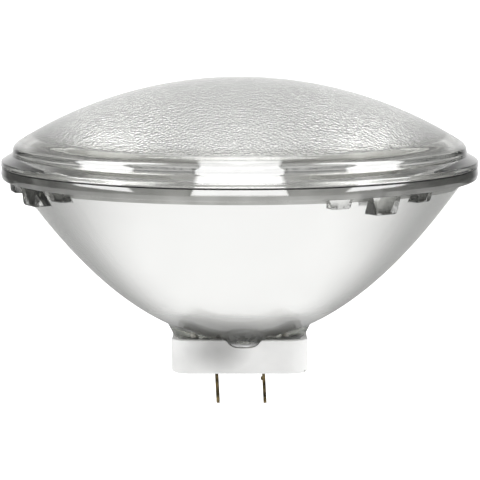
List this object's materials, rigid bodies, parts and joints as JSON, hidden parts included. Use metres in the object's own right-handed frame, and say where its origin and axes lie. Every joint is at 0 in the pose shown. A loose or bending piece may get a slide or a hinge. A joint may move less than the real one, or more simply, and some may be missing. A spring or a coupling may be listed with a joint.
{
  "type": "par spotlight bulb",
  "caption": "Sealed-beam spotlight bulb: domed stippled glass lens fused to a silvered glass paraboloid with locating lugs, on a ceramic base with contact blades.",
  "frame": {"origin": "centre of the ceramic base's contact face, midway between the blades", "axes": "+Z along the lamp axis from the base towards the lens, X along the line through the blades, -Y the side that the picture shows"},
  "size_m": [0.1778, 0.1778, 0.1222],
  "materials": {
    "lens_glass": "clear pressed glass, smooth outside and stippled inside",
    "silvered_glass": "clear pressed glass, aluminised on the inside",
    "clear_glass": "clear glass, fire polished",
    "nickel": "plain drawn nickel",
    "tungsten": "dull drawn wire",
    "white_ceramic": "unglazed white steatite, matt to satin",
    "cement": "dry lamp cement, matt",
    "tarnished_brass": "stamped brass, dulled and brown"
  },
  "bodies": {
    "root": {"front_lens": "lens_glass", "reflector": "silvered_glass", "exhaust_tube": "clear_glass", "support_bead": "clear_glass", "ferrule_left": "nickel", "ferrule_right": "nickel", "lead_post_left": "nickel", "lead_post_right": "nickel", "support_wire": "nickel", "strap_left": "nickel", "strap_right": "nickel", "filament": "tungsten", "base_body": "white_ceramic", "cement_front": "cement", "cement_rear": "cement", "blade_left": "tarnished_brass", "blade_right": "tarnished_brass"}
  },
  "joints": []
}
